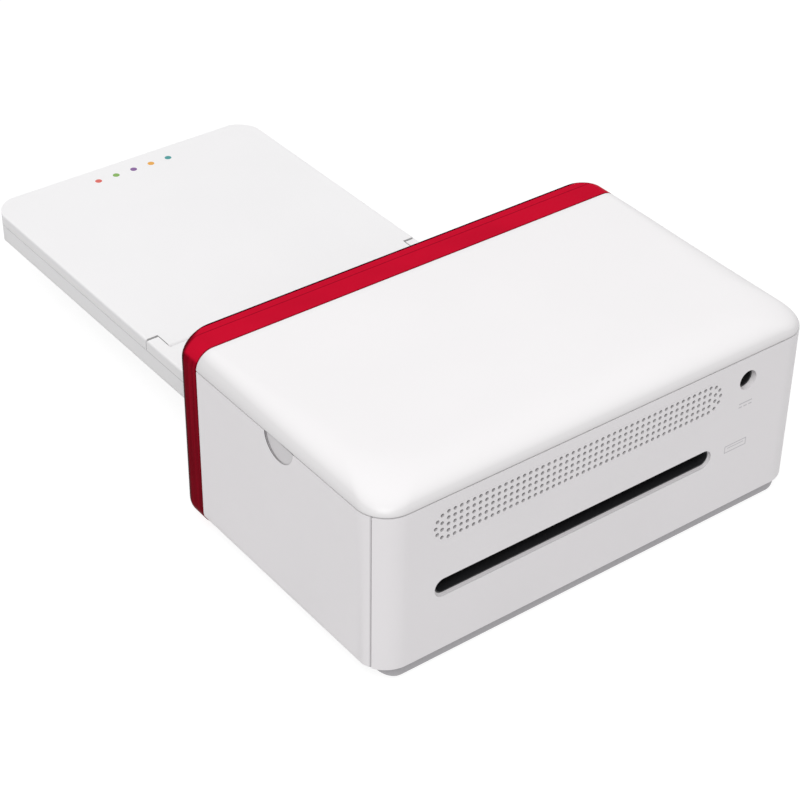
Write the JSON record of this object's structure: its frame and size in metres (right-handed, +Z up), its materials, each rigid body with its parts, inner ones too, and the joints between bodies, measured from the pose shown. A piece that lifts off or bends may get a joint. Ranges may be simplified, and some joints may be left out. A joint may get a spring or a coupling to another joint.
{
  "type": "compact photo printer",
  "caption": "Compact photo printer with a soft-cornered white casing, a red translucent front band, a side cartridge door and a front sheet tray with hinged cover.",
  "frame": {"origin": "middle of the bounding box in plan, on the surface the feet stand on", "axes": "+Z up, +Y out of the rear face with the paper slot, -Y along the sheet tray, +X out of the cartridge door"},
  "size_m": [0.17, 0.2656, 0.0687],
  "materials": {
    "white_casing": "fine satin",
    "white_lid": "smooth satin",
    "red_translucent": "clear tinted acrylic, gloss",
    "dark_trim": "gloss",
    "grey_base": "fine satin",
    "black_rubber": "matt",
    "zinc_steel": "plated",
    "black_plastic": "fine grain",
    "light_guide": "clear",
    "circuit_board": "solder mask",
    "board_part": "moulded",
    "contact_metal": "bright",
    "motor_can": "brushed",
    "gear_plastic": "natural acetal",
    "head_aluminium": "extruded",
    "head_ceramic": "glazed",
    "cartridge_plastic": "fine grain",
    "spool_plastic": "fine grain",
    "ribbon_colour": "thin film",
    "ribbon_used": "thin film",
    "photo_paper": "coated"
  },
  "bodies": {
    "casing": {"lid": "white_lid", "rear_shell": "white_casing", "slot_guide": "black_plastic", "vent_grille": "white_casing", "red_bezel": "red_translucent", "front_trim": "dark_trim", "front_panel": "white_casing", "base_plate": "grey_base", "rubber_feet": "black_rubber", "base_screws": "zinc_steel", "door_hinge_rod": "zinc_steel", "status_light": "light_guide", "switch_board": "circuit_board", "dc_socket": "black_plastic", "dc_contact": "contact_metal", "main_board": "circuit_board", "board_chips": "board_part", "chassis": "zinc_steel", "feed_deck": "black_plastic", "exit_guide": "black_plastic", "feed_motor": "motor_can", "cartridge_shell": "cartridge_plastic", "ribbon_film": "ribbon_colour"},
    "door": {"side_door": "white_casing"},
    "tray": {"tray_base": "white_casing", "tray_neck": "white_casing", "tray_pins": "zinc_steel", "paper_stack": "photo_paper"},
    "cover": {"tray_cover": "white_lid"},
    "button": {"power_button": "white_lid"},
    "pinion": {"motor_pinion": "gear_plastic"},
    "feed": {"feed_roller": "zinc_steel", "feed_gear": "gear_plastic"},
    "pinch": {"pinch_roller": "zinc_steel"},
    "platen": {"platen_shaft": "zinc_steel", "platen_roller": "black_rubber"},
    "pickup_lever": {"pickup_arm": "black_plastic"},
    "pickup": {"pickup_roller": "black_rubber"},
    "takeup": {"takeup_gear": "gear_plastic", "takeup_spool": "spool_plastic", "takeup_roll": "ribbon_used"},
    "supply": {"supply_hub": "gear_plastic", "supply_spool": "spool_plastic", "supply_roll": "ribbon_colour"},
    "head": {"head_frame": "zinc_steel", "heat_sink": "head_aluminium", "thermal_head": "head_ceramic"}
  },
  "joints": [
    {"name": "door_hinge", "type": "hinge", "parent": "casing", "child": "door", "pos_m": [0.0819, 0.0834, 0.00822], "axis": [0, 1, 0], "range_deg": [0, 90]},
    {"name": "tray_slide", "type": "slide", "parent": "casing", "child": "tray", "axis": [0, -1, 0], "range_m": [0, 0.03]},
    {"name": "cover_hinge", "type": "hinge", "parent": "tray", "child": "cover", "pos_m": [0.0103, -0.01755, 0.0301], "axis": [-1, 0, 0], "range_deg": [0, 95]},
    {"name": "button_press", "type": "slide", "parent": "casing", "child": "button", "axis": [0, 1, 0], "range_m": [0, 0.0006], "stiffness_N_per_m": 900, "springref_m": -0.001},
    {"name": "head_lift", "type": "hinge", "parent": "casing", "child": "head", "pos_m": [0.01025, 0.12, 0.0624], "axis": [1, 0, 0], "range_deg": [-4, 0]},
    {"name": "pickup_swing", "type": "hinge", "parent": "casing", "child": "pickup_lever", "pos_m": [0.01025, 0.0645, 0.0308], "axis": [-1, 0, 0], "range_deg": [0, 6]},
    {"name": "pickup_spin", "type": "hinge", "parent": "pickup_lever", "child": "pickup", "pos_m": [0.01025, 0.05, 0.0308], "axis": [1, 0, 0], "continuous": true},
    {"name": "feed_spin", "type": "hinge", "parent": "casing", "child": "feed", "pos_m": [0.01025, 0.1, 0.02595], "axis": [1, 0, 0], "continuous": true},
    {"name": "pinion_spin", "type": "hinge", "parent": "casing", "child": "pinion", "pos_m": [-0.05475, 0.08083, 0.01897], "axis": [1, 0, 0], "continuous": true},
    {"name": "takeup_spin", "type": "hinge", "parent": "casing", "child": "takeup", "pos_m": [0.01025, 0.104, 0.05043], "axis": [1, 0, 0], "continuous": true},
    {"name": "supply_spin", "type": "hinge", "parent": "casing", "child": "supply", "pos_m": [0.01025, 0.064, 0.05043], "axis": [1, 0, 0], "continuous": true},
    {"name": "pinch_spin", "type": "hinge", "parent": "casing", "child": "pinch", "pos_m": [0.01025, 0.1, 0.03325], "axis": [1, 0, 0], "continuous": true},
    {"name": "platen_spin", "type": "hinge", "parent": "casing", "child": "platen", "pos_m": [0.01025, 0.084, 0.02445], "axis": [1, 0, 0], "continuous": true}
  ],
  "couplings": [
    {"joint": "pinion_spin", "follows": "feed_spin", "ratio": -2.4},
    {"joint": "takeup_spin", "follows": "feed_spin", "ratio": -1.3846},
    {"joint": "supply_spin", "follows": "feed_spin", "ratio": -1.0385},
    {"joint": "pinch_spin", "follows": "feed_spin", "ratio": -1.3333},
    {"joint": "platen_spin", "follows": "feed_spin", "ratio": 0.72727}
  ]
}
